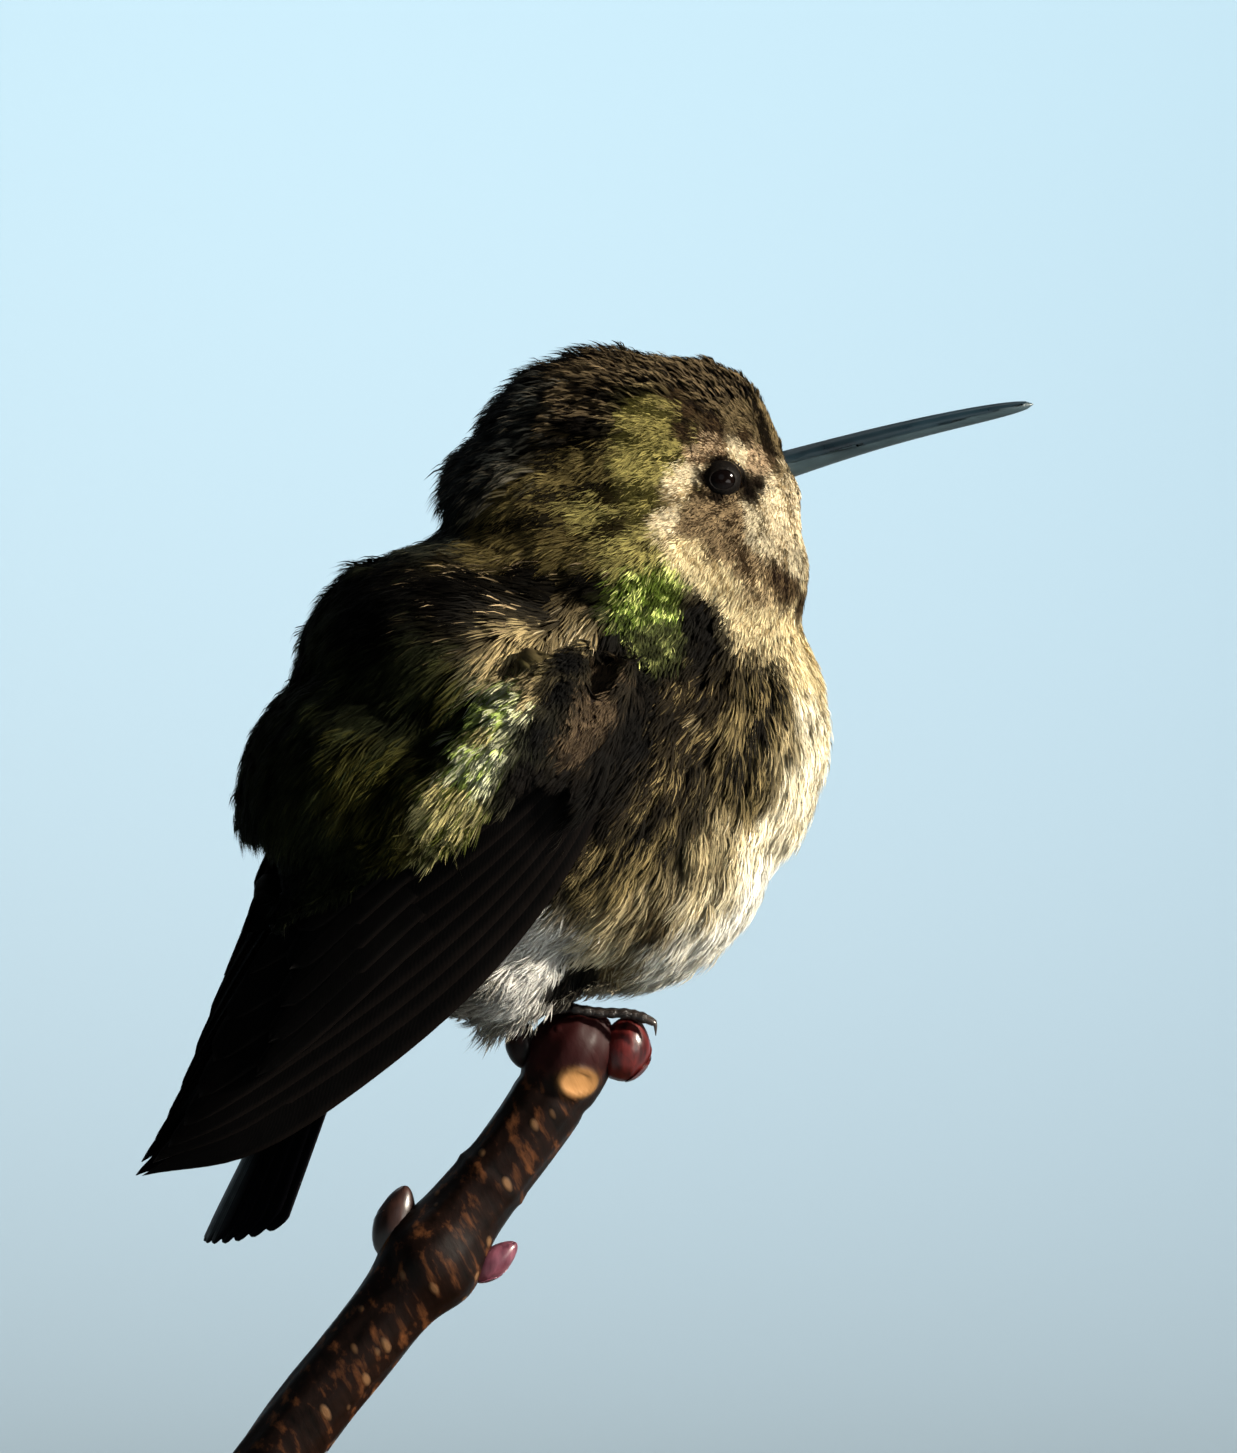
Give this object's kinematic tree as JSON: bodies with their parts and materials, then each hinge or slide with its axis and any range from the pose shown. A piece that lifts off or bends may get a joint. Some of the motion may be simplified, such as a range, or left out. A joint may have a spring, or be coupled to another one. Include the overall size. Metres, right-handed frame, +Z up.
{
  "type": "hummingbird figure",
  "caption": "Life-size model of a fluffed-up hummingbird gripping a budding twig, on a round display stand with a rod.",
  "frame": {"origin": "centre of the stand base's underside", "axes": "+Z up, out of the stand; +X the way the trunk faces; +Y the bird's left"},
  "size_m": [0.0673, 0.06, 0.0968],
  "materials": {
    "plumage_green": "soft feathers, green-bronze with a slight gloss",
    "plumage_pale": "soft feathers, buff and grey",
    "flight_feather": "blackish vanes with a faint purple sheen",
    "eye": "wet gloss",
    "bill": "smooth horn, satin",
    "foot": "scaled skin, satin",
    "bark": "smooth young bark",
    "bud": "glossy bud scales",
    "stand_wood": "oiled, satin",
    "stand_metal": "brushed"
  },
  "bodies": {
    "root": {"bill_lower": "bill", "bill_upper": "bill", "claw_left_1": "foot", "claw_left_2": "foot", "claw_left_3": "foot", "claw_left_4": "foot", "claw_right_1": "foot", "claw_right_2": "foot", "claw_right_3": "foot", "claw_right_4": "foot", "eye_left": "eye", "eye_right": "eye", "foot_left": "foot", "foot_right": "foot", "head": "plumage_green", "leg_left": "foot", "leg_right": "foot", "neck": "plumage_green", "perch_bud_back": "bud", "perch_bud_end": "bud", "perch_bud_left": "bud", "perch_bud_right": "bud", "perch_twig": "bark", "stand_base": "stand_wood", "stand_rod": "stand_metal", "tail": "flight_feather", "trunk": "plumage_pale", "vent": "plumage_pale", "wing_left_primaries": "flight_feather", "wing_left_scapulars": "plumage_green", "wing_left_secondaries": "flight_feather", "wing_left_shoulder": "plumage_green", "wing_right_primaries": "flight_feather", "wing_right_scapulars": "plumage_green", "wing_right_secondaries": "flight_feather", "wing_right_shoulder": "plumage_green"}
  },
  "joints": []
}
